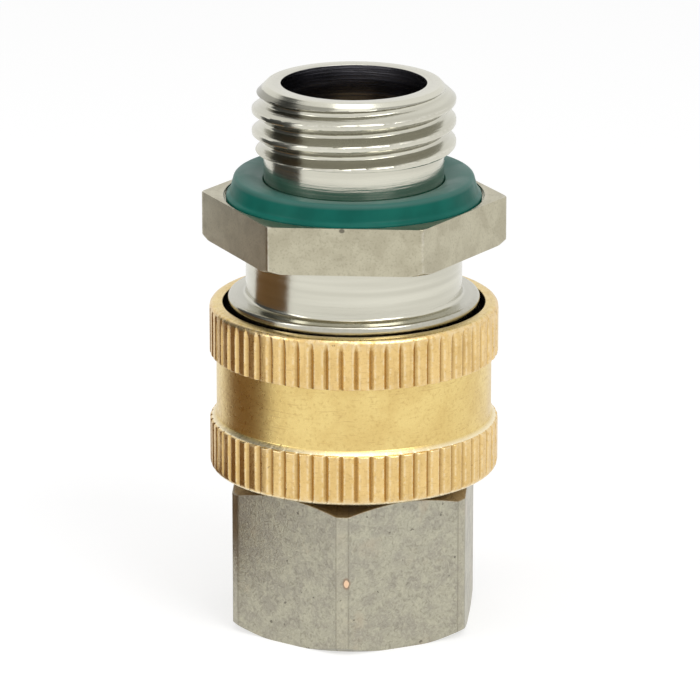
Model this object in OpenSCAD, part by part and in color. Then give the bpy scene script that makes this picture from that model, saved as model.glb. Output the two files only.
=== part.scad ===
// Screw-to-connect quick coupling for a liquid cooling line, shown connected.
// The socket half stands on its hex end, the plug half is drawn into it by the fluted brass sleeve.
// Each half closes itself with a spring valve when the sleeve is unscrewed.
// Origin: centre of the socket's bottom face, +Z along the flow axis. Millimetres.

/* [Socket adapter] */
// Across flats of the lower hex
adapter_af = 16; // [15.4:0.1:17]
// Diameter the hex corners are turned to
adapter_turned_d = 18; // [17.6:0.1:18.4]
// Height of the lower hex
adapter_h = 10.75; // [9.5:0.25:14]
// Radius at the bottom face where the corner chamfer starts
adapter_foot_r = 8.15; // [7.9:0.05:8.6]
// Minor radius of the female port thread
port_minor_r = 5.19; // [4.9:0.01:5.3]
// Depth of the female port thread
port_depth = 7; // [6:0.25:7]
// Pitch of the female port thread
port_pitch = 1.5; // [1:0.25:2]

/* [Coupling sleeve] */
// Thickness of the sleeve outside its thread
sleeve_wall = 1.35; // [1.1:0.05:1.8]
// Height of the lower fluted band
band_low_h = 3.65; // [3:0.05:5]
// Height of the plain groove between the bands
groove_h = 4.5; // [3.5:0.1:6]
// Height of the upper fluted band
band_up_h = 3.5; // [3:0.1:5]
// Depth of the plain groove below the bands
groove_depth = 0.46; // [0.2:0.02:0.5]
// Number of flutes round each band
flute_count = 60; // [40:1:72]
// Depth of a flute
flute_depth = 0.27; // [0.15:0.01:0.3]
// Radius of the cutter that leaves a flute
flute_r = 0.25; // [0.2:0.01:0.3]
// Step from the thread out to the mouth round the plug's collar
mouth_step = 0.44; // [0.3:0.02:0.6]
// Height of the inner lip that holds the sleeve on the socket
sleeve_lip_h = 2; // [1.5:0.1:2.5]
// Gap between the lower hex and the sleeve
sleeve_gap = 0.2; // [0.1:0.05:0.5]

/* [Coupling thread] */
// Step from the journal out to the crest of the plug's three-start thread
screw_step = 1.45; // [1.3:0.05:1.6]
// Radial depth of the thread
screw_depth = 0.5; // [0.3:0.05:0.5]
// Number of thread starts
screw_starts = 3; // [2:1:4]
// Distance between neighbouring ridges
screw_pitch = 1.5; // [1.2:0.1:1.8]
// Angle the sleeve turns from connected to released
release_deg = 340; // [270:10:340]

/* [Socket tube] */
// Radius of the journal that the sleeve turns on
journal_r = 7; // [6.9:0.05:7.05]
// Outer radius of the tube that enters the plug
tube_r = 6.52; // [6.4:0.01:6.6]
// Radius of the valve chamber in both halves
chamber_r = 4.5; // [4.3:0.05:4.6]
// Radius of the bore behind the valve chamber in both halves
bore_r = 4.95; // [4.9:0.01:5]
// Radius of the valve opening in both halves
seat_r = 3.4; // [3.3:0.02:3.5]
// Thickness of the lip in front of the valve seat
seat_lip_t = 0.6; // [0.5:0.05:0.8]

/* [Plug body] */
// Step from the collar in to the plain neck above the sleeve
neck_step = 1.21; // [1:0.01:1.4]
// Height of the plain neck
neck_h = 3.7; // [3:0.1:6]
// Gap between the collar and the sleeve's mouth
collar_gap = 0.37; // [0.2:0.01:0.5]
// Thickness of the collar
collar_h = 0.85; // [0.7:0.05:0.9]
// Height of the collar above the sleeve's rim
collar_rise = 0.55; // [0.3:0.05:0.8]
// Across flats of the plug's hex flange
flange_af = 18; // [17.9:0.1:19]
// Thickness of the hex flange
flange_h = 3.25; // [2.8:0.05:5]
// Angle of the flange's flats from the lower hex's corners
plug_turn = 1.4; // [-30:0.1:30]

/* [Stud] */
// Crest radius of the stud thread
stud_r = 6.93; // [6.9:0.01:7]
// Radius of the undercut and of the thread root
undercut_r = 6.13; // [6.05:0.01:6.2]
// Length of the stud above the flange
stud_len = 7.8; // [7.2:0.1:12]
// Height of the undercut above the flange
undercut_h = 3.1; // [3:0.1:3.6]
// Thread pitch of the stud
stud_pitch = 1.5; // [1.25:0.25:1.5]
// Width of the 45 degree lead-in chamfer
stud_chamfer = 1; // [0.6:0.05:1.1]

/* [Port seal] */
// Outer radius of the profile ring at its foot
seal_foot_r = 8.7; // [8.4:0.05:8.75]
// Outer radius of the profile ring at its top
seal_top_r = 8.12; // [7.6:0.02:8.2]
// Height of the ring above the flange
seal_rise = 1.4; // [1:0.05:1.8]
// Depth of the recess that holds the ring
recess_depth = 0.5; // [0.3:0.05:1]
// Clearance round the ring's foot in its recess
recess_gap = 0.15; // [0.1:0.05:0.2]

/* [Valves] */
// Radius of the valve head
head_r = 3.8; // [3.7:0.02:3.9]
// Radius of the nose that meets the other valve
nose_r = 2.2; // [1.8:0.05:2.3]
// Radius of the valve stem
stem_r = 1.4; // [1.2:0.05:1.5]
// Cord radius of the valve O-ring
valve_cord_r = 0.5; // [0.4:0.02:0.52]
// Wire radius of the valve springs
wire_r = 0.35; // [0.25:0.01:0.4]
// Mean coil radius of the valve springs
coil_r = 3; // [2.8:0.02:3.1]
// Turns of each valve spring
coil_turns = 5; // [4:0.5:6]
// Height of the spring space with the halves connected
spring_space = 5.4; // [5.2:0.1:6]

/* [Hidden] */
$fn = 96;

// Clearances and small edges
run_gap = 0.08;
seat_gap = 0.02;
play = 0.05;
edge = 0.2;
cut = 1;

// Coupling thread: travel of the plug over the sleeve's turn
screw_lead = screw_starts * screw_pitch;
travel = screw_lead * release_deg / 360;
stroke = travel / 2;

// Levels from the bottom face upward
sleeve_z0 = adapter_h + sleeve_gap;
groove_z0 = sleeve_z0 + band_low_h;
groove_z1 = groove_z0 + groove_h;
sleeve_z1 = groove_z1 + band_up_h;
meet_drop = 0.15;
meet_z = sleeve_z1 - meet_drop;
collar_z1 = sleeve_z1 + collar_rise;
collar_z0 = collar_z1 - collar_h;
flange_z0 = collar_z1 + neck_h;
flange_z1 = flange_z0 + flange_h;
stud_z1 = flange_z1 + stud_len;
recess_z = flange_z1 - recess_depth;

// Sleeve, its washer and its snap ring on the socket's journal
washer_t = 0.4;
washer_z = sleeve_z0 + sleeve_lip_h + play;
snap_wire_r = 0.5;
snap_z = washer_z + washer_t + play + snap_wire_r;
snap_r = journal_r + snap_wire_r * 0.2;
journal_z1 = snap_z + snap_wire_r + 0.45;

// Plug skirt and the thread that draws it in
skirt_z0 = journal_z1 + 0.3;
skirt_bore_r = tube_r + run_gap;
screw_crest_r = journal_r + screw_step;
screw_root_r = screw_crest_r - screw_depth;
screw_relief_h = 1.3;
screw_relief_r = screw_root_r - 0.05;
screw_z1 = collar_z0 - screw_relief_h;
nut_thread_z1 = skirt_z0 + travel + 0.15;
nut_minor_r = screw_root_r + run_gap;
nut_major_r = screw_crest_r + run_gap;
cavity_r = screw_crest_r + 0.15;
sleeve_r = nut_major_r + sleeve_wall;
groove_r = sleeve_r - groove_depth;
mouth_r = nut_major_r + mouth_step;
collar_r = mouth_r - collar_gap;
neck_r = collar_r - neck_step;
flank_tan = tan(30);
screw_root_w = 0.47;
screw_crest_w = screw_root_w + 2 * screw_depth * flank_tan;
nut_ridge_w = screw_root_w - 0.15;

// Seals between the halves
tube_top = meet_z - play;
plug_face = meet_z + play;
cord_r = 0.49;
gland_r = tube_r - 2 * cord_r + 0.02;
gland_z0 = skirt_z0 + travel + 0.35;
backup_t = 0.5;
gland_h = backup_t + 2 * cord_r + 0.3;

// Adapter joint under the tube
ledge_t = 0.6;
ledge_r = 4.7;
spigot_z0 = port_depth + ledge_t + play;
spigot_r = 6.42;
spigot_nose_h = 1.1;
spigot_nose_r = spigot_r - 1;
adapter_cord_r = 0.47;

// Valve set, measured from the meeting plane away from the nose
seat_cone = chamber_r - seat_r;
seat_z = play + seat_lip_t;
valve_ring_r = seat_r - 0.3;
ring_closed = seat_z + (valve_ring_r - seat_r) + (valve_cord_r + seat_gap) * sqrt(2);
ring_z = ring_closed + stroke;
ring_groove_h = 2 * valve_cord_r + 0.1;
ring_groove_r = valve_ring_r - valve_cord_r - seat_gap;
nose_flange_r = seat_r - 0.4;
nose_flange_h = 0.5;
head_z0 = ring_z + ring_groove_h / 2;
head_h = 1.1;
head_z1 = head_z0 + head_h;
guide_z0 = head_z1 + spring_space;
guide_t = 1.2;
guide_z1 = guide_z0 + guide_t;
hub_r = 1.9;
hub_rise = 1.4;
boss_h = 1.7;
stem_end = guide_z1 + 0.8;
stud_hole_r = 1;
clip_t = 0.6;
clip_groove_r = bore_r + 0.35;

// Points of an arc in a profile, from angle a0 to a1
function arc(x, y, r, a0, a1, n = 6) =
    [for (i = [0:n]) let (a = a0 + (a1 - a0) * i / n) [x + r * cos(a), y + r * sin(a)]];

// A section of [radius, height] points placed at one angle round the axis
function placed(section, angle, z) =
    [for (p = section) [p[0] * cos(angle), p[0] * sin(angle), z + p[1]]];

// One solid through a list of rings that all have the same number of points
module skin_rings(rings) {
    n = len(rings[0]);
    last = len(rings) - 1;
    sides = [for (i = [0:last - 1], j = [0:n - 1]) let (k = (j + 1) % n, a = i * n, b = a + n)
        each [[a + j, b + j, b + k], [a + j, b + k, a + k]]];
    first_cap = [for (j = [1:n - 2]) [0, j, j + 1]];
    last_cap = [for (j = [1:n - 2]) [last * n, last * n + j + 1, last * n + j]];
    polyhedron(points = [for (r = rings) each r], faces = concat(sides, first_cap, last_cap));
}

// Trapezoid that cuts or makes one thread turn: width w0 at r0 and w1 at r1
function trapezoid(r0, w0, r1, w1) = [[r0, w0 / 2], [r1, w1 / 2], [r1, -w1 / 2], [r0, -w0 / 2]];

// Right-hand helical band between two levels, at mid-width height z_ref on angle 0.
// Its rings stand half a step off angle 0, so no corner lies on a cylinder's seam.
module helix_band(section, lead, z_ref, z0, z1, seg = 48) {
    a0 = ceil((z0 - z_ref) / lead * seg);
    a1 = floor((z1 - z_ref) / lead * seg);
    skin_rings([for (i = [a0:a1]) let (t = (i + 0.5) / seg) placed(section, t * 360, z_ref + lead * t)]);
}

module tube(r0, r1, z0, z1) {
    difference() {
        translate([0, 0, z0]) cylinder(r = r1, h = z1 - z0);
        translate([0, 0, z0 - cut]) cylinder(r = r0, h = z1 - z0 + 2 * cut);
    }
}

module o_ring(r, cord, z) {
    rotate_extrude() translate([r, z]) circle(r = cord, $fn = 32);
}

module hex_prism(af, z0, z1) {
    translate([0, 0, z0]) rotate(30) cylinder(r = af / sqrt(3), h = z1 - z0, $fn = 6);
}

// Hollow of a valve chamber: opening, cone seat, chamber and bore, from the meeting plane
module chamber_hollow(depth) {
    rotate_extrude() polygon([[0, -cut], [seat_r, -cut], [seat_r, seat_z], [chamber_r, seat_z + seat_cone],
        [chamber_r, guide_z0], [bore_r, guide_z0], [bore_r, guide_z1 + play],
        [clip_groove_r, guide_z1 + play], [clip_groove_r, guide_z1 + 3 * play + clip_t],
        [bore_r, guide_z1 + 3 * play + clip_t], [bore_r, depth], [0, depth]]);
}

// Valve set in its own frame: the nose looks down -Z, the meeting plane is z = 0
module valve_nose() {
    rotate_extrude() polygon([[0, play], [nose_r - edge, play], [nose_r, play + edge],
        [nose_r, ring_z - ring_groove_h / 2 - nose_flange_h],
        [nose_flange_r, ring_z - ring_groove_h / 2 - nose_flange_h],
        [nose_flange_r, ring_z - ring_groove_h / 2],
        [ring_groove_r, ring_z - ring_groove_h / 2], [ring_groove_r, head_z0],
        [stud_hole_r, head_z0], [stud_hole_r, head_z0 + head_h + boss_h / 2],
        [0, head_z0 + head_h + boss_h / 2]]);
}

module valve_seal() {
    o_ring(valve_ring_r, valve_cord_r, ring_z);
}

module valve_stem() {
    difference() {
        rotate_extrude() polygon([[0, head_z0], [head_r - edge, head_z0], [head_r, head_z0 + edge],
            [head_r, head_z1], [hub_r, head_z1], [hub_r, head_z1 + boss_h], [stem_r, head_z1 + boss_h],
            [stem_r, stem_end - edge], [stem_r - edge, stem_end], [0, stem_end]]);
        translate([0, 0, head_z0 - cut]) cylinder(r = stud_hole_r + seat_gap, h = cut + head_h + boss_h / 2 + 0.2);
    }
}

// Compression spring with one closed turn at each end
module valve_spring(sides = 8, seg = 20) {
    low = head_z1 + wire_r + seat_gap;
    high = guide_z0 - wire_r - seat_gap;
    end_rise = 2 * wire_r + seat_gap;
    open_rise = (high - low - 2 * end_rise) / (coil_turns - 2);
    steps = coil_turns * seg;
    wire = [for (j = [0:sides - 1]) [coil_r + wire_r * cos(-j * 360 / sides), wire_r * sin(-j * 360 / sides)]];
    function height(t) = t < 1 ? t * end_rise
        : t > coil_turns - 1 ? high - low - (coil_turns - t) * end_rise
        : end_rise + (t - 1) * open_rise;
    skin_rings([for (i = [0:steps]) placed(wire, i * 360 / seg, low + height(i / seg))]);
}

// Three-armed guide that carries the stem and the spring
module valve_guide() {
    difference() {
        union() {
            tube(chamber_r - 0.3, bore_r - play, guide_z0, guide_z1);
            translate([0, 0, guide_z0 - hub_rise]) cylinder(r = hub_r, h = hub_rise + guide_t);
            for (a = [0, 120, 240])
                rotate(a) translate([hub_r - 0.3, -0.55, guide_z0]) cube([chamber_r - hub_r + 0.2, 1.1, guide_t]);
        }
        translate([0, 0, guide_z0 - hub_rise - cut]) cylinder(r = stem_r + play, h = hub_rise + guide_t + 2 * cut);
    }
}

// Internal retaining ring behind the guide, open over 50 degrees
module guide_clip() {
    difference() {
        tube(bore_r - 0.5, clip_groove_r - play, guide_z1 + 2 * play, guide_z1 + 2 * play + clip_t);
        translate([0, 0, guide_z1 - cut]) linear_extrude(clip_t + 3 * cut)
            polygon([[0, 0], [2 * bore_r, -2 * bore_r * tan(25)], [2 * bore_r, 2 * bore_r * tan(25)]]);
    }
}

module in_socket() {
    translate([0, 0, meet_z]) rotate([180, 0, 0]) children();
}

module in_plug() {
    translate([0, 0, meet_z]) rotate([0, 0, plug_turn]) children();
}

// Hex end with the female port and the joint for the tube
module socket_adapter() {
    color("#a49c8e") difference() {
        intersection() {
            hex_prism(adapter_af, 0, adapter_h);
            rotate_extrude() polygon([[0, 0], [adapter_foot_r, 0],
                [adapter_turned_d / 2, (adapter_turned_d / 2 - adapter_foot_r) * flank_tan],
                [adapter_turned_d / 2, adapter_h - (adapter_turned_d / 2 - adapter_af / 2) * flank_tan],
                [adapter_af / 2, adapter_h], [0, adapter_h]]);
        }
        rotate_extrude() polygon([[0, -cut], [port_minor_r + 0.9 + cut, -cut], [port_minor_r, 0.9],
            [port_minor_r, port_depth], [ledge_r, port_depth], [ledge_r, port_depth + ledge_t],
            [spigot_r + play, port_depth + ledge_t], [spigot_r + play, adapter_h + cut], [0, adapter_h + cut]]);
        helix_band(trapezoid(port_minor_r - 0.1, port_pitch * 2 / 3 + 0.1, port_minor_r + 0.81, port_pitch / 8),
            port_pitch, 0, -port_pitch, port_depth - port_pitch * 1.2, 36);
    }
}

module adapter_seal() {
    color("#202020") o_ring(spigot_nose_r + adapter_cord_r + seat_gap, adapter_cord_r,
        spigot_z0 + spigot_nose_h / 2);
}

// Tube with the sleeve's journal, the O-ring gland and the valve chamber
module socket_body() {
    color("#b9b4a8") difference() {
        rotate_extrude() polygon([[0, spigot_z0], [spigot_nose_r, spigot_z0],
            [spigot_nose_r, spigot_z0 + spigot_nose_h], [spigot_r, spigot_z0 + spigot_nose_h],
            [spigot_r, adapter_h], [journal_r, adapter_h], [journal_r, journal_z1 - edge],
            [journal_r - edge, journal_z1], [tube_r, journal_z1], [tube_r, gland_z0], [gland_r, gland_z0],
            [gland_r, gland_z0 + gland_h], [tube_r, gland_z0 + gland_h], [tube_r, tube_top - edge],
            [tube_r - edge, tube_top], [0, tube_top]]);
        o_ring(snap_r, snap_wire_r + seat_gap, snap_z);
        in_socket() chamber_hollow(meet_z - spigot_z0 + cut);
    }
}

module socket_guide_ring() {
    color("#8c8f94") in_socket() guide_clip();
}

module socket_guide() {
    color("#c8a64a") in_socket() valve_guide();
}

module socket_spring() {
    color("#8c8f94") in_socket() valve_spring();
}

module socket_valve_stem() {
    color("#c8a64a") in_socket() valve_stem();
}

module socket_valve_seal() {
    color("#1f7a5f") in_socket() valve_seal();
}

module socket_valve_nose() {
    color("#b9b4a8") in_socket() valve_nose();
}

module backup_ring() {
    color("#e8e6de") tube(gland_r + seat_gap, tube_r - seat_gap, gland_z0 + play, gland_z0 + play + backup_t);
}

module interface_seal() {
    color("#1f7a5f") o_ring(gland_r + cord_r + seat_gap, cord_r, gland_z0 + backup_t + 2 * play + cord_r);
}

// Round wire ring, open over 30 degrees, that stops the washer and the sleeve
module sleeve_snap_ring() {
    color("#8c8f94") difference() {
        o_ring(snap_r, snap_wire_r, snap_z);
        translate([0, 0, snap_z - cut]) linear_extrude(2 * cut)
            polygon([[0, 0], [2 * journal_r, -2 * journal_r * tan(15)], [2 * journal_r, 2 * journal_r * tan(15)]]);
    }
}

module sleeve_washer() {
    color("#d6c9a8") tube(journal_r + 0.1, cavity_r - 0.2, washer_z, washer_z + washer_t);
}

// Fluted union nut: outline, flutes, inner lip, thread and plain mouth
module coupling_sleeve() {
    rim_w = 0.48;
    rim_drop = 0.4;
    foot_r = sleeve_r - 0.5;
    flute_at = sleeve_r - flute_depth + flute_r;
    color("#d9b45c") difference() {
        rotate_extrude() polygon(concat([[journal_r + run_gap, sleeve_z0], [foot_r, sleeve_z0]],
            arc(sleeve_r - 0.45, sleeve_z0 + 0.45, 0.45, -80, 0, 4),
            [[sleeve_r, groove_z0 - 0.3], [sleeve_r - edge, groove_z0], [groove_r, groove_z0],
            [groove_r, groove_z1], [sleeve_r - 0.1, groove_z1], [sleeve_r, groove_z1 + 0.1]],
            arc(sleeve_r - rim_drop, sleeve_z1 - rim_drop, rim_drop, 0, 80, 4),
            [[mouth_r + 0.1, sleeve_z1], [mouth_r, sleeve_z1 - 0.1], [mouth_r, nut_thread_z1],
            [nut_minor_r, nut_thread_z1], [nut_minor_r, skirt_z0 + 0.1], [cavity_r, skirt_z0 + 0.1],
            [cavity_r, sleeve_z0 + sleeve_lip_h], [journal_r + run_gap, sleeve_z0 + sleeve_lip_h]]));
        for (i = [0:flute_count - 1])
            rotate(i * 360 / flute_count) translate([flute_at, 0, sleeve_z0 - cut])
                cylinder(r = flute_r, h = sleeve_z1 - sleeve_z0 + 2 * cut, $fn = 24);
        for (s = [0:screw_starts - 1])
            rotate(s * 360 / screw_starts)
                helix_band(trapezoid(nut_minor_r - 0.1, screw_pitch - nut_ridge_w + 0.2 * flank_tan, nut_major_r,
                    screw_pitch - nut_ridge_w - 2 * (nut_major_r - nut_minor_r) * flank_tan),
                    screw_lead, skirt_z0 + screw_pitch / 2, skirt_z0 - 0.6, nut_thread_z1 + 0.6);
    }
}

module plug_valve_nose() {
    color("#b9b4a8") in_plug() valve_nose();
}

module plug_valve_seal() {
    color("#1f7a5f") in_plug() valve_seal();
}

module plug_valve_stem() {
    color("#c8a64a") in_plug() valve_stem();
}

module plug_spring() {
    color("#8c8f94") in_plug() valve_spring();
}

module plug_guide() {
    color("#c8a64a") in_plug() valve_guide();
}

module plug_guide_ring() {
    color("#8c8f94") in_plug() guide_clip();
}

// Nipple: threaded skirt, collar, neck, hex flange and threaded stud, turned and milled from one bar
module plug_body() {
    fillet_r = 0.3;
    flange_corner_r = flange_af / sqrt(3);
    corner_drop = 0.23;
    dent_r = 0.3;
    dent_x = -0.17;
    dent_drop = 0.3;
    thread_z0 = flange_z1 + undercut_h;
    color("#c2bcab") difference() {
        union() {
            rotate_extrude() polygon(concat([[0, skirt_z0], [screw_crest_r - 0.4, skirt_z0],
                [screw_crest_r, skirt_z0 + 0.4], [screw_crest_r, screw_z1 - 0.3],
                [screw_relief_r, screw_z1 + 0.2], [screw_relief_r, collar_z0], [collar_r, collar_z0]],
                arc(collar_r - 0.25, collar_z1 - 0.25, 0.25, 0, 90, 4),
                arc(neck_r + fillet_r, collar_z1 + fillet_r, fillet_r, -90, -180, 4),
                [[neck_r, flange_z0 + 0.1], [undercut_r, flange_z0 + 0.1],
                [undercut_r, thread_z0], [stud_r, thread_z0 + stud_r - undercut_r],
                [stud_r, stud_z1 - stud_chamfer], [stud_r - stud_chamfer, stud_z1], [0, stud_z1]]));
            difference() {
                intersection() {
                    rotate(plug_turn + 30) hex_prism(flange_af, flange_z0, flange_z1);
                    rotate_extrude() polygon([[0, flange_z0], [flange_corner_r - corner_drop / flank_tan, flange_z0],
                        [flange_corner_r, flange_z0 + corner_drop], [flange_corner_r, flange_z1 - 0.1],
                        [flange_corner_r - 0.1, flange_z1], [0, flange_z1]]);
                }
                tube(undercut_r, seal_foot_r + recess_gap, recess_z, flange_z1 + cut);
                rotate(plug_turn) translate([dent_x, -flange_af / 2 - dent_r / 2, flange_z1 - dent_drop])
                    sphere(r = dent_r, $fn = 24);
            }
        }
        translate([0, 0, skirt_z0 - cut]) cylinder(r = skirt_bore_r, h = plug_face - skirt_z0 + cut);
        in_plug() chamber_hollow(stud_z1 - meet_z + cut);
        for (s = [0:screw_starts - 1])
            rotate(s * 360 / screw_starts)
                helix_band(trapezoid(screw_root_r, screw_root_w, screw_crest_r + 0.2,
                    screw_crest_w + 0.4 * flank_tan), screw_lead, skirt_z0, skirt_z0 - 0.9, collar_z0 - 0.65);
        helix_band(trapezoid(undercut_r + 0.02, 0.3, stud_r + 0.3, stud_pitch - 0.2 + 0.6 * flank_tan),
            stud_pitch, thread_z0, thread_z0 - 0.6, stud_z1 + 0.8, 72);
    }
}

// Green profile ring in the flange's recess
module port_seal() {
    color("#1f8a6d") rotate_extrude() polygon(concat([[undercut_r + play, recess_z + seat_gap],
        [seal_foot_r, recess_z + seat_gap], [seal_foot_r, flange_z1 + 0.05],
        [seal_foot_r - 0.25, flange_z1 + 0.25]],
        arc(seal_top_r - 0.2, flange_z1 + seal_rise - 0.2, 0.2, 10, 90, 3),
        [[undercut_r + 0.2, flange_z1 + seal_rise], [undercut_r + play, flange_z1 + seal_rise - 0.15]]));
}

socket_adapter();
adapter_seal();
socket_body();
socket_guide_ring();
socket_guide();
socket_spring();
socket_valve_stem();
socket_valve_seal();
socket_valve_nose();
backup_ring();
interface_seal();
sleeve_snap_ring();
sleeve_washer();
coupling_sleeve();
plug_valve_nose();
plug_valve_seal();
plug_valve_stem();
plug_spring();
plug_guide();
plug_guide_ring();
plug_body();
port_seal();
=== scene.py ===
"""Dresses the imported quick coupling: plated plug and hex socket, brass sleeve, green profile ring."""
import math

import bmesh
import bpy
from mathutils import Matrix, Vector


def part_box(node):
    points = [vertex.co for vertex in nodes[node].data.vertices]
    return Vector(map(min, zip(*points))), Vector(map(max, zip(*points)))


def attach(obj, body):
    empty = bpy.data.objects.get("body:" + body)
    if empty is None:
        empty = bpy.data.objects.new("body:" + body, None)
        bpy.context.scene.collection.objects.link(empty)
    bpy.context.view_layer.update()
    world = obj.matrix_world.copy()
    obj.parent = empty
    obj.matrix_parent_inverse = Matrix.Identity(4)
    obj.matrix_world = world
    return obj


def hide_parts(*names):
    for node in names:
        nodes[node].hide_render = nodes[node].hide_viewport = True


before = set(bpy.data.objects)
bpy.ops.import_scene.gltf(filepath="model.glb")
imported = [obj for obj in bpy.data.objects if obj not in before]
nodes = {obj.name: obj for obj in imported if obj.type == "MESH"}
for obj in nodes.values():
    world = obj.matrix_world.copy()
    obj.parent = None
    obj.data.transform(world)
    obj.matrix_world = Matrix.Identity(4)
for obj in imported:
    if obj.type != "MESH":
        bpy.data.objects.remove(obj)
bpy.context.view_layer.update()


# ---- Socket adapter -------------------------------------------------------------------------
# The hex end of the socket half, milled from bar, with the corners turned down and the female
# port thread cut in. Nickel plate over brass, left matt and blotched by the plating bath.
MM = 0.001


def lathe(name, outline, columns, start=0.0, rows=(), shape=None, marks={}):
    """Spins a closed outline of (radius, height, rounding) corners, in mm, round the flow axis.
    rows gives zones (least radius, most radius, low, high, step) whose edges are cut finer,
    shape(radius, angle, height) gives a point's new radius, and marks its values for the finish,
    from the same three and the new radius."""
    bm = bmesh.new()
    points = [bm.verts.new((r, 0, z)) for r, z, _ in outline]
    for a, b in zip(points, points[1:] + points[:1]):
        bm.edges.new((a, b))
    for rounding in sorted({c[2] for c in outline if c[2]}):
        chosen = [p for p, c in zip(points, outline) if c[2] == rounding]
        bmesh.ops.bevel(bm, geom=chosen, offset=rounding, offset_type="OFFSET", segments=4,
                        profile=0.5, affect="VERTICES", material=-1)
    for r0, r1, z0, z1, step in rows:
        for edge in bm.edges[:]:
            middle = (edge.verts[0].co + edge.verts[1].co) / 2
            cuts = int(edge.calc_length() / step)
            if r0 < middle.x < r1 and z0 < middle.z < z1 and cuts:
                bmesh.ops.subdivide_edges(bm, edges=[edge], cuts=cuts)
    bmesh.ops.rotate(bm, verts=bm.verts[:], cent=(0, 0, 0), matrix=Matrix.Rotation(start, 3, "Z"))
    bmesh.ops.spin(bm, geom=bm.verts[:] + bm.edges[:], cent=(0, 0, 0), axis=(0, 0, 1),
                   angle=math.tau, steps=columns, use_merge=True)
    layers = [(bm.verts.layers.float.new(key), key) for key in marks]
    for v in bm.verts:
        radius, angle = math.hypot(v.co.x, v.co.y), math.atan2(v.co.y, v.co.x)
        new = shape(radius, angle, v.co.z) if shape else radius
        for layer, key in layers:
            v[layer] = marks[key](radius, angle, v.co.z, new)
        v.co.x, v.co.y = v.co.x * new / radius, v.co.y * new / radius
    bmesh.ops.scale(bm, vec=(MM, MM, MM), verts=bm.verts[:])
    return finished(name, bm)


def finished(name, bm):
    """Makes the object from its bmesh: normals out, edges measured for wear, smooth but for true edges."""
    bmesh.ops.recalc_face_normals(bm, faces=bm.faces[:])
    worn = bm.verts.layers.float.new("worn")
    for edge in bm.edges:
        turn = edge.calc_face_angle_signed(0.0)
        edge.smooth = abs(turn) < math.radians(38)
        if turn > 0.12:
            for v in edge.verts:
                v[worn] = max(v[worn], min(1.0, turn * 1.6))
    for face in bm.faces:
        face.smooth = True
    mesh = bpy.data.meshes.new(name)
    bm.to_mesh(mesh)
    bm.free()
    made = bpy.data.objects.new(name, mesh)
    bpy.context.scene.collection.objects.link(made)
    return made


def soft_min(a, b, k):
    """The smaller of two lengths, with the corner between them rounded over about k."""
    h = max(k - abs(a - b), 0.0) / k
    return min(a, b) - h * h * k / 4


def soft_max(a, b, k):
    return -soft_min(-a, -b, k)


def hex_radius(across, angle, first_flat=0.0):
    """Radius of a hexagon's side at an angle, with a flat's middle at first_flat."""
    off = (angle - first_flat + math.pi / 6) % (math.pi / 3) - math.pi / 6
    return across / 2 / math.cos(off)


def off_groove(angle, z, z_ref, lead, starts=1):
    """Height from the middle of the nearest groove of a right-hand thread."""
    pitch = lead / starts
    return (z - z_ref - lead * angle / math.tau + pitch / 2) % pitch - pitch / 2


def add(tree, kind, settings=None, **inputs):
    """A shader node with its settings, and its inputs as values or as links from other sockets."""
    made = tree.nodes.new("ShaderNode" + kind)
    for key, value in (settings or {}).items():
        setattr(made, key, value)
    for key, value in inputs.items():
        socket = made.inputs[int(key[1:])] if key[0] == "i" and key[1:].isdigit() \
            else made.inputs[key.replace("_", " ")]
        if isinstance(value, bpy.types.NodeSocket):
            tree.links.new(value, socket)
        else:
            socket.default_value = value
    return made


def math_node(tree, operation, a, b=0.0, clamp=False):
    return add(tree, "Math", {"operation": operation, "use_clamp": clamp}, i0=a, i1=b).outputs[0]


def blend(tree, factor, a, b):
    """Mix of two colours by a factor."""
    made = add(tree, "Mix", {"data_type": "RGBA"}, i0=factor)
    for index, value in ((6, a), (7, b)):
        if isinstance(value, bpy.types.NodeSocket):
            tree.links.new(value, made.inputs[index])
        else:
            made.inputs[index].default_value = (*value, 1.0)
    return made.outputs[2]


def ramp(tree, value, low, high, to_low=0.0, to_high=1.0):
    return add(tree, "MapRange", {"interpolation_type": "SMOOTHSTEP"}, Value=value, From_Min=low,
               From_Max=high, To_Min=to_low, To_Max=to_high).outputs[0]


def attribute(tree, name):
    return add(tree, "Attribute", {"attribute_name": name}).outputs["Fac"]


def group(name, inputs, outputs):
    """A node group with named number inputs and outputs, its input and output nodes in place."""
    tree = bpy.data.node_groups.new(name, "ShaderNodeTree")
    for key in inputs:
        tree.interface.new_socket(key, in_out="INPUT", socket_type="NodeSocketFloat")
    for key in outputs:
        tree.interface.new_socket(key, in_out="OUTPUT", socket_type="NodeSocketFloat")
    return tree, tree.nodes.new("NodeGroupInput"), tree.nodes.new("NodeGroupOutput")


def use(tree, made, **inputs):
    """Places a node group in a material and returns its outputs by name."""
    placed = tree.nodes.new("ShaderNodeGroup")
    placed.node_tree = made
    for key, value in inputs.items():
        socket = placed.inputs[key.replace("_", " ")]
        if isinstance(value, bpy.types.NodeSocket):
            tree.links.new(value, socket)
        else:
            socket.default_value = value
    return placed.outputs


def round_the_axis(tree, along, across):
    """Object coordinates as radius and height, drawn out round the axis, for lathe marks."""
    place = add(tree, "SeparateXYZ", Vector=add(tree, "TexCoord").outputs["Object"]).outputs
    square = [math_node(tree, "MULTIPLY", place[i], place[i]) for i in (0, 1)]
    radius = math_node(tree, "SQRT", math_node(tree, "ADD", *square))
    slow = math_node(tree, "MULTIPLY", math_node(tree, "ADD", place[0], place[1]), along)
    return add(tree, "CombineXYZ", X=math_node(tree, "MULTIPLY", radius, across),
               Y=math_node(tree, "MULTIPLY", place[2], across), Z=slow).outputs[0]


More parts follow.
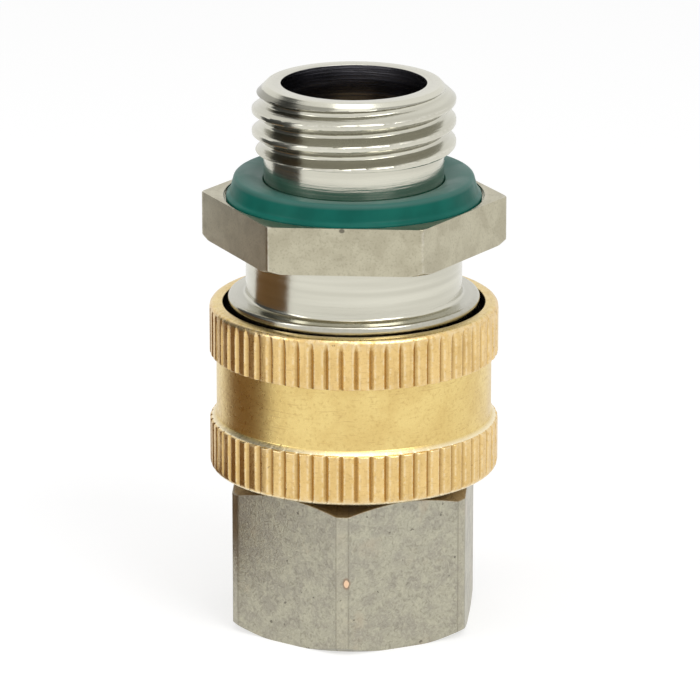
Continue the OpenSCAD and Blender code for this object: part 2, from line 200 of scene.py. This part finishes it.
# Lathe marks: fine rings round the axis, one height for the bump and one slow band for the colour
rings_group, pins, pouts = group("lathe_rings", ["Fine", "Drift"], ["Height", "Band"])
ring_place = round_the_axis(rings_group, pins.outputs["Drift"], pins.outputs["Fine"])
rings_group.links.new(add(rings_group, "TexNoise", Vector=ring_place, Scale=1.0, Detail=3.0,
                          Roughness=0.6).outputs[0], pouts.inputs["Height"])
rings_group.links.new(add(rings_group, "TexNoise", Vector=ring_place, Scale=0.22, Detail=2.0,
                          Roughness=0.5).outputs[0], pouts.inputs["Band"])

# Plating grain: small isotropic noise, slow clouds, worm-like lines and rare dark pits
grain_group, pins, pouts = group("plating_grain", ["Scale", "Pit size"],
                                 ["Grain", "Cloud", "Worm", "Pit"])
here = add(grain_group, "TexCoord").outputs["Object"]
grain_scale = pins.outputs["Scale"]
grain_group.links.new(add(grain_group, "TexNoise", Vector=here, Scale=grain_scale, Detail=4.0,
                          Roughness=0.65).outputs[0], pouts.inputs["Grain"])
grain_group.links.new(add(grain_group, "TexNoise", Vector=here, Detail=3.0, Roughness=0.55,
                          Scale=math_node(grain_group, "MULTIPLY", grain_scale, 0.09),
                          Distortion=0.6).outputs[0], pouts.inputs["Cloud"])
worm = add(grain_group, "TexNoise", Vector=here, Detail=1.5, Roughness=0.5, Distortion=1.6,
           Scale=math_node(grain_group, "MULTIPLY", grain_scale, 0.38)).outputs[0]
worm = math_node(grain_group, "ABSOLUTE", math_node(grain_group, "SUBTRACT", worm, 0.5))
grain_group.links.new(ramp(grain_group, worm, 0.0, 0.05, 1.0, 0.0), pouts.inputs["Worm"])
pit = add(grain_group, "TexVoronoi", {"feature": "F1"}, Vector=here,
          Scale=math_node(grain_group, "MULTIPLY", grain_scale, 0.16)).outputs["Distance"]
pit = math_node(grain_group, "ADD", pit, math_node(grain_group, "MULTIPLY", 0.5, add(
    grain_group, "TexNoise", Vector=here, Scale=grain_scale, Detail=2.0).outputs[0]))
grain_group.links.new(math_node(grain_group, "LESS_THAN", pit, pins.outputs["Pit size"]),
                      pouts.inputs["Pit"])

# Wear on the edges: the measured edges, broken up by noise
wear_group, pins, pouts = group("edge_wear", ["Scale", "Amount"], ["Mask"])
rub = add(wear_group, "TexNoise", Vector=add(wear_group, "TexCoord").outputs["Object"],
          Scale=pins.outputs["Scale"], Detail=4.0, Roughness=0.6).outputs[0]
rub = ramp(wear_group, math_node(wear_group, "ADD", rub, math_node(
    wear_group, "SUBTRACT", pins.outputs["Amount"], 0.5)), 0.45, 0.6)
wear_group.links.new(math_node(wear_group, "MULTIPLY", rub, attribute(wear_group, "worn")),
                     pouts.inputs["Mask"])


def finish_of(slot_name):
    """A new material named for a slot: its tree and its Principled shader, over a plain output."""
    made = bpy.data.materials.new(slot_name)
    made.use_nodes = True
    return made, made.node_tree, made.node_tree.nodes["Principled BSDF"]


def bump(tree, shader, height, strength, distance, under=None):
    made = add(tree, "Bump", Strength=strength, Distance=distance, Height=height)
    if under:
        tree.links.new(under, made.inputs["Normal"])
    tree.links.new(made.outputs[0], shader.inputs["Normal"])
    return made.outputs[0]


adapter_af, adapter_turned_r, adapter_foot_r = 16.0, 9.0, 8.15
adapter_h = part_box("socket_adapter")[1].z / MM
adapter_slope = math.tan(math.radians(30))
adapter_face_r = 7.45
port_r, port_pitch, port_mouth = 5.19, 1.5, 0.9


def adapter_shape(radius, angle, z):
    if radius > 7.5:
        return soft_min(radius, hex_radius(adapter_af, angle), 0.05)
    if abs(radius - port_r) < 0.01 and z < 5.2:
        away = abs(off_groove(angle, z, 0.0, port_pitch))
        return port_r + max(0.0, min(0.81, (0.5 - away) * 2))
    return radius


lower_hex = lathe("lower_hex", [
    (port_r + port_mouth, 0, 0.05), (adapter_foot_r, 0, 0.05),
    (adapter_turned_r, (adapter_turned_r - adapter_foot_r) * adapter_slope, 0.06),
    (adapter_turned_r, adapter_h - (adapter_turned_r - adapter_face_r) * adapter_slope, 0.06),
    (adapter_face_r, adapter_h, 0.05), (6.47, adapter_h, 0), (6.47, 7.6, 0), (4.7, 7.6, 0),
    (4.7, 7, 0), (port_r, 7, 0), (port_r, port_mouth, 0)],
    columns=480, rows=[(7.9, 9.2, 0, 0.6, 0.04), (7.4, 9.2, 9.8, 10.8, 0.04),
                       (7.9, 9.2, 0.6, 9.8, 0.4), (5.1, 5.3, 0.9, 7, 0.1)],
    shape=adapter_shape,
    marks={"bore": lambda radius, angle, z, new: float(radius < 6.6),
           "land": lambda radius, angle, z, new: min(1.0, max(0.0, 0.5 + adapter_turned_r * (
               abs((angle + math.pi / 6) % (math.pi / 3) - math.pi / 6) - 0.476))),
           "faced": lambda radius, angle, z, new: float(z > adapter_h - 0.88 and new > radius - 0.03)})

blotched, tree, shader = finish_of("nickel_blotched")
here = add(tree, "TexCoord").outputs["Object"]
grain = use(tree, grain_group, Scale=5200.0, Pit_size=0.30)
wear = use(tree, wear_group, Scale=3500.0, Amount=0.4)["Mask"]
patch = add(tree, "TexNoise", Vector=here, Scale=850.0, Detail=4.0, Roughness=0.6).outputs[0]
colour = blend(tree, ramp(tree, patch, 0.38, 0.62), (0.385, 0.362, 0.295), (0.45, 0.43, 0.335))
crawl = add(tree, "TexNoise", Vector=here, Scale=2900.0, Detail=2.0, Roughness=0.55,
            Distortion=1.4).outputs[0]
colour = blend(tree, ramp(tree, crawl, 0.50, 0.64, 0.0, 0.4), colour, (0.57, 0.55, 0.42))
colour = blend(tree, ramp(tree, crawl, 0.32, 0.46, 0.42, 0.0), colour, (0.23, 0.215, 0.165))
colour = blend(tree, math_node(tree, "MULTIPLY", grain["Worm"], 0.22), colour, (0.23, 0.21, 0.165))
rust = add(tree, "TexNoise", Vector=here, Scale=420.0, Detail=3.0).outputs[0]
colour = blend(tree, ramp(tree, rust, 0.60, 0.74, 0.0, 0.18), colour, (0.46, 0.31, 0.22))
colour = blend(tree, math_node(tree, "MULTIPLY", grain["Pit"], 0.65), colour, (0.09, 0.08, 0.065))
land = attribute(tree, "land")
colour = blend(tree, ramp(tree, land, 0.50, 0.58, 0.0, 0.15), colour, (0.56, 0.51, 0.38))
brink = math_node(tree, "ABSOLUTE", math_node(tree, "SUBTRACT", land, 0.5))
brink = math_node(tree, "MULTIPLY", ramp(tree, brink, 0.0, 0.10, 1.0, 0.0),
                  ramp(tree, crawl, 0.38, 0.62, 0.1, 0.6))
colour = blend(tree, brink, colour, (0.19, 0.17, 0.13))
colour = blend(tree, math_node(tree, "MULTIPLY", wear, 0.25), colour, (0.56, 0.53, 0.43))
colour = blend(tree, math_node(tree, "MULTIPLY", attribute(tree, "faced"), 0.3), colour, (0.34, 0.24, 0.17))
nick = add(tree, "Mapping", Vector=add(tree, "TexCoord").outputs["Object"],
           Location=(-0.00029 / 0.00017, 0.009 / 0.0006, -0.00515 / 0.00027),
           Scale=(1 / 0.00017, 1 / 0.0006, 1 / 0.00027)).outputs[0]
nick = add(tree, "VectorMath", {"operation": "LENGTH"}, i0=nick).outputs["Value"]
nick = math_node(tree, "ADD", nick, math_node(tree, "MULTIPLY", grain["Grain"], 0.5))
colour = blend(tree, ramp(tree, nick, 1.35, 2.2, 0.6, 0.0), colour, (0.26, 0.15, 0.09))
colour = blend(tree, ramp(tree, nick, 1.1, 1.35, 1.0, 0.0), colour, (0.86, 0.60, 0.40))
# Painted shade: the port's bore and inner hollows are darkened in the colour.
colour = blend(tree, attribute(tree, "bore"), colour, (0.22, 0.20, 0.18))
tree.links.new(colour, shader.inputs["Base Color"])
shader.inputs["Metallic"].default_value = 1.0
tree.links.new(ramp(tree, patch, 0.3, 0.7, 0.42, 0.34), shader.inputs["Roughness"])
height = math_node(tree, "SUBTRACT", math_node(tree, "ADD", crawl, math_node(
    tree, "MULTIPLY", grain["Grain"], 0.4)), math_node(tree, "MULTIPLY", grain["Pit"], 0.8))
bump(tree, shader, height, 0.4, 0.00005)

lower_hex.data.materials.append(blotched)
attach(lower_hex, "socket")
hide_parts("socket_adapter")


# ---- Socket tube and the valve bodies -----------------------------------------------------
# The tube that enters the plug and the two poppet noses, turned from brass bar and nickel plated.
# They keep their solids, and take a plain turned plate finish with rings round the axis.
turned, tree, shader = finish_of("nickel_turned")
rings = use(tree, rings_group, Fine=7000.0, Drift=250.0)
grain = use(tree, grain_group, Scale=5200.0, Pit_size=0.2)
colour = blend(tree, rings["Band"], (0.46, 0.43, 0.37), (0.70, 0.67, 0.60))
colour = blend(tree, ramp(tree, grain["Cloud"], 0.5, 0.7, 0.0, 0.3), colour, (0.40, 0.37, 0.31))
tree.links.new(colour, shader.inputs["Base Color"])
shader.inputs["Metallic"].default_value = 1.0
tree.links.new(ramp(tree, rings["Band"], 0.3, 0.7, 0.22, 0.34), shader.inputs["Roughness"])
bump(tree, shader, rings["Height"], 0.3, 0.00003)


def dress(names, material):
    """Gives CAD nodes their finish."""
    for name in names:
        nodes[name].data.materials.clear()
        nodes[name].data.materials.append(material)


dress(["socket_body", "socket_valve_nose", "plug_valve_nose"], turned)


# ---- Valve stems and guides ---------------------------------------------------------------
# Each valve's stem screws onto its nose and runs in a three-armed guide. Turned and milled
# from brass bar, left bare, so it has dulled a little between bright tool marks.
valve_brass, tree, shader = finish_of("valve_brass")
rings = use(tree, rings_group, Fine=6000.0, Drift=400.0)
grain = use(tree, grain_group, Scale=4200.0, Pit_size=0.22)
colour = blend(tree, rings["Band"], (0.50, 0.35, 0.14), (0.74, 0.56, 0.27))
colour = blend(tree, ramp(tree, grain["Cloud"], 0.5, 0.68, 0.0, 0.5), colour, (0.36, 0.22, 0.09))
tree.links.new(colour, shader.inputs["Base Color"])
shader.inputs["Metallic"].default_value = 1.0
tree.links.new(ramp(tree, grain["Cloud"], 0.3, 0.7, 0.26, 0.42), shader.inputs["Roughness"])
bump(tree, shader, rings["Height"], 0.3, 0.00003)
dress(["socket_valve_stem", "socket_guide", "plug_valve_stem", "plug_guide"], valve_brass)


# ---- Springs and wire rings ---------------------------------------------------------------
# Valve springs, the guides' retaining rings and the round ring under the sleeve, all of drawn
# stainless wire or strip, with fine draw lines and a little grey film.
wire, tree, shader = finish_of("spring_steel")
grain = use(tree, grain_group, Scale=6000.0, Pit_size=0.2)
colour = blend(tree, ramp(tree, grain["Cloud"], 0.3, 0.7), (0.34, 0.335, 0.33), (0.56, 0.56, 0.55))
tree.links.new(colour, shader.inputs["Base Color"])
shader.inputs["Metallic"].default_value = 1.0
tree.links.new(ramp(tree, grain["Grain"], 0.3, 0.7, 0.22, 0.36), shader.inputs["Roughness"])
bump(tree, shader, grain["Grain"], 0.2, 0.00002)
dress(["socket_spring", "plug_spring", "socket_guide_ring", "plug_guide_ring",
       "sleeve_snap_ring"], wire)


# ---- Inner seals --------------------------------------------------------------------------
# Moulded O-rings: green ones on the valves and between the halves, a black one under the tube.
# A white ring cut from PTFE rod backs the one between the halves.
def rubber(slot_name, dark, light, roughness, drift=260.0):
    """Moulded rubber: slow colour clouds, fine skin, dulled patches, and a painted highlight that lightens
    the top where a piece marks it.
    """
    made, tree, shader = finish_of(slot_name)
    grain = use(tree, grain_group, Scale=4500.0, Pit_size=0.16)
    cloud = add(tree, "TexNoise", Vector=add(tree, "TexCoord").outputs["Object"], Scale=drift,
                Detail=3.0).outputs[0]
    colour = blend(tree, ramp(tree, cloud, 0.35, 0.65), dark, light)
    top_highlight_colour = tuple(0.75 * part + 0.06 for part in light)
    # Painted highlight: the marked top is lightened as if lit from above.
    colour = blend(tree, attribute(tree, "upper"), colour, top_highlight_colour)
    tree.links.new(colour, shader.inputs["Base Color"])
    tree.links.new(ramp(tree, grain["Cloud"], 0.35, 0.65, roughness, roughness + 0.12),
                   shader.inputs["Roughness"])
    bump(tree, shader, grain["Grain"], 0.15, 0.00003)
    return made, tree, shader


green, tree, shader = rubber("green_rubber", (0.003, 0.105, 0.080), (0.006, 0.145, 0.110), 0.30)
shader.inputs["Specular IOR Level"].default_value = 0.12
dress(["interface_seal", "socket_valve_seal", "plug_valve_seal"], green)
black = rubber("black_rubber", (0.012, 0.012, 0.013), (0.03, 0.03, 0.03), 0.4)[0]
dress(["adapter_seal"], black)
ptfe = rubber("white_ptfe", (0.70, 0.70, 0.67), (0.82, 0.82, 0.80), 0.45)[0]
dress(["backup_ring"], ptfe)


# ---- Sleeve washer ------------------------------------------------------------------------
# Thin washer between the sleeve's lip and the wire ring, punched from ivory acetal sheet.
ivory = rubber("ivory_plastic", (0.58, 0.52, 0.40), (0.70, 0.64, 0.51), 0.38)[0]
dress(["sleeve_washer"], ivory)


# ---- Coupling sleeve ----------------------------------------------------------------------
# The union nut: brass bar turned with two bands and a groove, fluted along the axis by a form
# tool, and threaded inside with three starts. Bare brass, satin, rubbed bright on its edges. Painted
# shade darkens the flutes and the bore, and a painted highlight lightens the lower band's shoulder.
sleeve_lo, sleeve_hi = (v.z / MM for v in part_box("coupling_sleeve"))
sleeve_r, groove_r, mouth_r = 9.88, 9.42, 8.97
groove_low, groove_high = sleeve_lo + 3.65, sleeve_lo + 8.15
flute_count, flute_depth, flute_half = 60, 0.20, 0.20
nut_minor_r, nut_depth, nut_lead = 8.03, 0.5, 4.5


def sleeve_shape(radius, angle, z):
    if radius > mouth_r + 0.1:
        pitch = math.tau / flute_count
        across = ((angle + pitch / 2) % pitch - pitch / 2) * sleeve_r
        depth = flute_depth * min(1.0, max(0.0, (sleeve_hi - 0.22 - z) / 0.3))
        wall = sleeve_r - depth + (abs(across) - 0.03) * flute_depth / flute_half
        flute = soft_max(sleeve_r - depth, wall, 0.05)
        return soft_min(radius, flute, 0.04)
    if abs(radius - nut_minor_r) < 0.01:
        away = abs(off_groove(angle, z, sleeve_lo + 5.0, nut_lead, 3))
        return radius + max(0.0, min(nut_depth, (0.59 - away) / adapter_slope))
    return radius


union_sleeve = lathe("union_sleeve", [
    (7.08, sleeve_lo, 0.08), (sleeve_r, sleeve_lo, 0.45), (sleeve_r, groove_low - 0.2, 0.1),
    (9.70, groove_low - 0.14, 0.03), (groove_r, groove_low + 0.14, 0.05), (groove_r, groove_high, 0),
    (sleeve_r, groove_high, 0.08),
    (sleeve_r, sleeve_hi, 0.4), (mouth_r, sleeve_hi, 0.09), (mouth_r, 19.6, 0),
    (nut_minor_r, 19.6, 0), (nut_minor_r, 15.3, 0), (8.6, 15.3, 0), (8.6, 12.95, 0),
    (7.08, 12.95, 0)],
    columns=flute_count * 14, rows=[(7.9, 8.2, 15.3, 19.6, 0.14), (9, 10, 11, 23, 0.45)],
    shape=sleeve_shape,
    marks={
        "bore": lambda radius, angle, z, new: float(radius < mouth_r + 0.005),
        "shoulder_highlight": lambda radius, angle, z, new:
            0.7 if 9.5 < radius < 9.75 and z < groove_high - 1 else 0.0,
        "band": lambda radius, angle, z, new: float(radius > 9.75 or z < groove_low - 0.15),
        "cut": lambda radius, angle, z, new:
            max(0.0, (radius - new - 0.02) / flute_depth) if radius > 9.6 else 0.0})

brass, tree, shader = finish_of("sleeve_brass")
rings = use(tree, rings_group, Fine=3200.0, Drift=330.0)
grain = use(tree, grain_group, Scale=4200.0, Pit_size=0.25)
wear = use(tree, wear_group, Scale=2600.0, Amount=0.55)["Mask"]
here = add(tree, "TexCoord").outputs["Object"]
groove_colour = blend(tree, ramp(tree, grain["Cloud"], 0.35, 0.65), (0.72, 0.53, 0.20), (0.80, 0.615, 0.245))
land_colour = blend(tree, ramp(tree, grain["Cloud"], 0.35, 0.65), (0.74, 0.51, 0.20), (0.82, 0.58, 0.245))
colour = blend(tree, attribute(tree, "band"), groove_colour, land_colour)
colour = blend(tree, ramp(tree, grain["Grain"], 0.50, 0.72, 0.0, 0.4), colour, (0.46, 0.29, 0.10))
dash = add(tree, "TexNoise", Vector=round_the_axis(tree, 900.0, 9000.0), Scale=1.0, Detail=2.0).outputs[0]
colour = blend(tree, ramp(tree, dash, 0.60, 0.72, 0.0, 0.4), colour, (0.48, 0.31, 0.12))
streak = add(tree, "Mapping", Vector=here, Scale=(1.0, 1.0, 0.12)).outputs[0]
streak = add(tree, "TexNoise", Vector=streak, Scale=3600.0, Detail=3.0).outputs[0]
streak = math_node(tree, "MULTIPLY", ramp(tree, streak, 0.52, 0.70, 0.0, 0.35), attribute(tree, "band"))
colour = blend(tree, streak, colour, (0.50, 0.31, 0.115))
colour = blend(tree, math_node(tree, "MULTIPLY", grain["Pit"], 0.6), colour, (0.16, 0.09, 0.03))
colour = blend(tree, math_node(tree, "MULTIPLY", wear, 0.55), colour, (0.93, 0.79, 0.54))
# Painted shade: the flutes are darkened in the colour the deeper they are cut.
colour = blend(tree, ramp(tree, attribute(tree, "cut"), 0.1, 0.9, 0.0, 0.6), colour, (0.36, 0.215, 0.075))
# Painted highlight: the lower band's shoulder is lightened to a cream white.
colour = blend(tree, attribute(tree, "shoulder_highlight"), colour, (0.97, 0.88, 0.66))
# Painted shade: the sleeve's bore, seen as the dark gap at its mouth, is near black in the colour.
colour = blend(tree, attribute(tree, "bore"), colour, (0.06, 0.035, 0.014))
tree.links.new(colour, shader.inputs["Base Color"])
shader.inputs["Metallic"].default_value = 1.0
tree.links.new(ramp(tree, grain["Grain"], 0.3, 0.7, 0.26, 0.36), shader.inputs["Roughness"])
height = math_node(tree, "ADD", grain["Grain"], math_node(tree, "MULTIPLY", rings["Height"], 0.7))
bump(tree, shader, height, 0.3, 0.00004)

union_sleeve.data.materials.append(brass)
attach(union_sleeve, "sleeve")
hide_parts("coupling_sleeve")


# ---- Plug nipple --------------------------------------------------------------------------
# The plug half's body in one piece: threaded skirt, collar, neck, hex flange with the ring's
# recess, undercut and threaded stud. Hex bar, turned and milled, then nickel plated.
plug_lo, plug_hi = (v.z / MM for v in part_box("plug_body"))
plug_turn = math.radians(1.4)
flange_af, flange_low, flange_high = 18.0, 26.85, 30.1
flange_corner_r, corner_drop = flange_af / math.sqrt(3), 0.23
collar_low, collar_high, collar_r, neck_r = 22.3, 23.15, 8.6, 7.39
stud_r, undercut_r, bore_r, stud_pitch = 6.93, 6.13, 4.95, 1.5
thread_low = flange_high + 3.23
screw_crest_r, screw_root_r = 8.45, 7.95
meet = 22.45


def plug_shape(radius, angle, z):
    if radius > 8.86 and flange_low - 0.01 < z < flange_high + 0.01:
        return soft_min(radius, hex_radius(flange_af, angle, plug_turn + math.pi / 6), 0.09)
    if z > thread_low and radius > undercut_r + 0.02:
        away = abs(off_groove(angle, z, thread_low - 0.29, stud_pitch))
        flank = undercut_r + 0.05 + (away - 0.13) * 1.6
        return soft_min(radius, soft_max(undercut_r + 0.05, flank, 0.10), 0.07)
    if z < collar_low - 1.0 and radius > screw_root_r:
        away = abs(off_groove(angle, z, plug_lo, nut_lead, 3))
        flank = screw_root_r + (away - 0.235) / adapter_slope
        return soft_min(radius, soft_max(screw_root_r, flank, 0.16), 0.16)
    return radius


def plug_flank_shade(radius, angle, z, new):
    """How much painted shade a point takes: most on the thread's flank that faces down, some on the collar.
    """
    if collar_low - 1 < z < collar_high + 0.25 and radius > neck_r + 0.1:
        return 0.35
    on_flank = 0.06 < new - undercut_r < stud_r - undercut_r - 0.05
    if z < thread_low or radius < undercut_r + 0.02 or not on_flank:
        return 0.0
    return 0.8 if off_groove(angle, z, thread_low - 0.29, stud_pitch) > 0 else 0.08


plug_nipple = lathe("plug_nipple", [
    (6.6, plug_lo, 0.05), (screw_crest_r, plug_lo, 0.4), (screw_crest_r, 20.7, 0), (7.9, 21.2, 0),
    (7.9, collar_low, 0), (collar_r, collar_low, 0.06), (collar_r, collar_high, 0.25),
    (neck_r, collar_high, 0.3), (neck_r, flange_low, 0.06),
    (flange_corner_r - corner_drop / adapter_slope, flange_low, 0.05),
    (flange_corner_r, flange_low + corner_drop, 0.05), (flange_corner_r, flange_high, 0.1),
    (8.85, flange_high, 0.06), (8.85, 29.6, 0), (undercut_r, 29.6, 0), (undercut_r, thread_low, 0),
    (stud_r, thread_low + 0.06, 0.03), (stud_r, plug_hi - 1, 0.05),
    (stud_r - 1, plug_hi, 0.05), (bore_r, plug_hi, 0.06),
    (bore_r, meet + 12.21, 0), (5.3, meet + 12.21, 0), (5.3, meet + 11.51, 0),
    (bore_r, meet + 11.51, 0), (bore_r, meet + 10.26, 0), (4.5, meet + 10.26, 0),
    (4.5, meet + 1.75, 0), (3.4, meet + 0.65, 0), (3.4, meet + 0.05, 0), (6.6, meet + 0.05, 0)],
    columns=432, start=plug_turn,
    rows=[(undercut_r, 7, thread_low, plug_hi, 0.065), (screw_root_r - 0.1, 8.6, plug_lo, 21.2, 0.08),
          (9.9, 10.5, flange_low, flange_low + 0.4, 0.04), (9.9, 10.5, 27, 30.1, 0.35),
          (8.8, 10.5, 30.05, 30.2, 0.3)],
    shape=plug_shape,
    marks={"bore": lambda radius, angle, z, new: float(radius < 6.7 and z < 22.6 or radius < bore_r + 0.005
                                                       or radius < 5.4 and z < 35.5),
           "milled": lambda radius, angle, z, new: float(radius > 8.86 and 0 <= z - flange_low + 0.01 < 3.27),
           "flank": plug_flank_shade})

plate, tree, shader = finish_of("nickel_plug")
rings = use(tree, rings_group, Fine=6500.0, Drift=260.0)
grain = use(tree, grain_group, Scale=6500.0, Pit_size=0.22)
wear = use(tree, wear_group, Scale=3000.0, Amount=0.55)["Mask"]
milled = attribute(tree, "milled")
turned_colour = blend(tree, ramp(tree, rings["Band"], 0.3, 0.7), (0.555, 0.54, 0.455), (0.655, 0.64, 0.545))
milled_colour = blend(tree, ramp(tree, grain["Cloud"], 0.35, 0.65), (0.44, 0.405, 0.295), (0.52, 0.485, 0.36))
milled_colour = blend(tree, ramp(tree, grain["Grain"], 0.48, 0.72, 0.0, 0.45), milled_colour,
                      (0.26, 0.235, 0.165))
# Painted shade: the bore, the skirt's inside and the inner steps take a dark colour.
bore_colour = blend(tree, ramp(tree, rings["Band"], 0.52, 0.68), (0.15, 0.147, 0.165), (0.26, 0.255, 0.27))
colour = blend(tree, milled, turned_colour, milled_colour)
colour = blend(tree, math_node(tree, "MULTIPLY", grain["Pit"], 0.5), colour, (0.12, 0.10, 0.08))
colour = blend(tree, math_node(tree, "MULTIPLY", wear, 0.3), colour, (0.85, 0.82, 0.75))
# Painted shade: the thread's downward flanks, its upper flanks a little, and the collar are darkened in the
# colour.
colour = blend(tree, math_node(tree, "MULTIPLY", attribute(tree, "flank"), 0.75), colour, (0.12, 0.115, 0.09))
dent = add(tree, "Mapping", Vector=add(tree, "TexCoord").outputs["Object"],
           Location=(0.00001 / 0.00022, 0.009 / 0.0006, -0.02995 / 0.00018),
           Scale=(1 / 0.00022, 1 / 0.0006, 1 / 0.00018)).outputs[0]
dent = add(tree, "VectorMath", {"operation": "LENGTH"}, i0=dent).outputs["Value"]
colour = blend(tree, ramp(tree, dent, 0.6, 1.1, 0.8, 0.0), colour, (0.10, 0.09, 0.07))
colour = blend(tree, attribute(tree, "bore"), colour, bore_colour)
tree.links.new(colour, shader.inputs["Base Color"])
shader.inputs["Metallic"].default_value = 1.0
rough = ramp(tree, rings["Band"], 0.3, 0.7, 0.15, 0.22)
rough = math_node(tree, "ADD", rough, math_node(tree, "MULTIPLY", milled, 0.17))
tree.links.new(rough, shader.inputs["Roughness"])
height = add(tree, "Mix", {"data_type": "FLOAT"}, i0=milled, i2=rings["Height"],
             i3=grain["Grain"]).outputs[0]
bump(tree, shader, height, 0.3, 0.00004)

plug_nipple.data.materials.append(plate)
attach(plug_nipple, "plug")
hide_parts("plug_body")


# ---- Profile ring -------------------------------------------------------------------------
# The port's soft seal, moulded in green fluoro rubber with a slightly dished top, a leaning side
# and a thin foot, and sprung over the stud's thread into the flange's recess.
seal_lo, seal_hi = (v.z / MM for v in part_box("port_seal"))
profile_ring = lathe("profile_ring", [
    (undercut_r + 0.05, seal_lo, 0.05), (8.7, seal_lo, 0.05), (8.7, 30.15, 0.1), (8.45, 30.35, 0.1),
    (8.14, seal_hi, 0.2), (7.3, seal_hi, 0.3), (undercut_r + 0.05, seal_hi - 0.28, 0.1)],
    columns=192, rows=[(6, 9, seal_lo - 1, seal_hi + 1, 0.2)],
    # The top's mark carries a painted highlight in the green finish.
    marks={"upper": lambda radius, angle, z, new: 0.8 * float(z > seal_hi - 0.3 and radius < 8.3)})
profile_ring.data.materials.append(green)
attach(profile_ring, "plug")
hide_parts("port_seal")


# ---- Table and backdrop -------------------------------------------------------------------
# A pale table top that runs far behind the coupling. It shows white and keeps a soft shadow.
bm = bmesh.new()
bmesh.ops.create_grid(bm, x_segments=1, y_segments=1, size=3.0)
mesh = bpy.data.meshes.new("table_top")
bm.to_mesh(mesh)
bm.free()
table_top = bpy.data.objects.new("table_top", mesh)
bpy.context.scene.collection.objects.link(table_top)
white, tree, shader = finish_of("white_table")
shader.inputs["Base Color"].default_value = (0.5, 0.5, 0.5, 1)
shader.inputs["Roughness"].default_value = 0.9
shader.inputs["Specular IOR Level"].default_value = 0.0
seen = add(tree, "LightPath").outputs
seen = math_node(tree, "ADD", seen["Is Camera Ray"], math_node(
    tree, "ADD", seen["Is Glossy Ray"], seen["Is Transmission Ray"]), True)
shader.inputs["Emission Color"].default_value = (1, 1, 1, 1)
tree.links.new(math_node(tree, "MULTIPLY", seen, 0.61), shader.inputs["Emission Strength"])
table_top.data.materials.append(white)

camera_side = math.radians(-84.9)


def curved_card(name, radius, height, first, span):
    """An upright card bent round the coupling, span degrees wide from first degrees left of the camera."""
    bm = bmesh.new()
    post = bm.verts.new((radius, 0, 0.0))
    tip = bm.verts.new((radius, 0, height))
    edge = bm.edges.new((post, tip))
    bmesh.ops.rotate(bm, verts=bm.verts[:], cent=(0, 0, 0),
                     matrix=Matrix.Rotation(camera_side - math.radians(first), 3, "Z"))
    bmesh.ops.spin(bm, geom=[post, tip, edge], cent=(0, 0, 0), axis=(0, 0, 1),
                   angle=math.radians(span), steps=24)
    mesh = bpy.data.meshes.new(name)
    bm.to_mesh(mesh)
    bm.free()
    made = bpy.data.objects.new(name, mesh)
    bpy.context.scene.collection.objects.link(made)
    return made


# A brown card at the left, seen only as the dark band in the metal, and a low one nearer in,
# which darkens the left of the socket's hex.
flag = curved_card("brown_flag", 0.034, 0.075, 117, 51)
low_flag = curved_card("low_flag", 0.020, 0.007, 125, 62)
card, tree, shader = finish_of("brown_card")
height = add(tree, "SeparateXYZ", Vector=add(tree, "TexCoord").outputs["Object"]).outputs[2]
tree.links.new(blend(tree, ramp(tree, height, 0.019, 0.025), (0.28, 0.15, 0.055), (0.075, 0.08, 0.08)),
               shader.inputs["Base Color"])
shader.inputs["Roughness"].default_value = 0.9
for made in (flag, low_flag):
    made.data.materials.append(card)
    made.visible_camera = made.visible_shadow = made.visible_diffuse = False

# ---- Light and camera ---------------------------------------------------------------------
# A white room, one broad soft lamp above the right shoulder, a weaker one at the left, and one
# overhead that draws the bright lines along the upper edges.
world = bpy.data.worlds.new("white_room")
bpy.context.scene.world = world
world.use_nodes = True
background = world.node_tree.nodes["Background"]
background.inputs["Color"].default_value = (1, 1, 1, 1)
seen = add(world.node_tree, "LightPath").outputs
seen = math_node(world.node_tree, "ADD", seen["Is Camera Ray"], math_node(
    world.node_tree, "ADD", seen["Is Glossy Ray"], seen["Is Transmission Ray"]), True)
world.node_tree.links.new(ramp(world.node_tree, seen, 0.0, 1.0, 0.55, 1.0),
                          background.inputs["Strength"])
aim = Vector((0, 0, 0.019))


def soft_lamp(name, place, size, power):
    lamp = bpy.data.lights.new(name, "AREA")
    lamp.shape, lamp.size, lamp.energy = "DISK", size, power
    made = bpy.data.objects.new(name, lamp)
    bpy.context.scene.collection.objects.link(made)
    made.location = place
    made.rotation_euler = (aim - made.location).to_track_quat("-Z", "Y").to_euler()


soft_lamp("key_lamp", (0.20, -0.22, 0.30), 0.22, 0.5)
soft_lamp("fill_lamp", (-0.30, -0.12, 0.22), 0.20, 0.25)
soft_lamp("top_lamp", (0.008, -0.088, 0.306), 0.16, 0.12)

elevation, distance = math.radians(16.79), 0.383
back = Vector((math.cos(camera_side) * math.cos(elevation), math.sin(camera_side) * math.cos(elevation),
               math.sin(elevation)))
camera = bpy.data.objects.new("camera", bpy.data.cameras.new("camera"))
bpy.context.scene.collection.objects.link(camera)
camera.data.lens, camera.data.sensor_width = 287.5, 36.0
camera.rotation_euler = (-back).to_track_quat("-Z", "Y").to_euler()
side = Vector((-math.sin(camera_side), math.cos(camera_side), 0))
camera.location = aim + back * distance - side * 0.000267
camera.data.clip_start, camera.data.clip_end = 0.01, 10.0
bpy.context.scene.camera = camera
bpy.context.scene.view_settings.view_transform = "Standard"
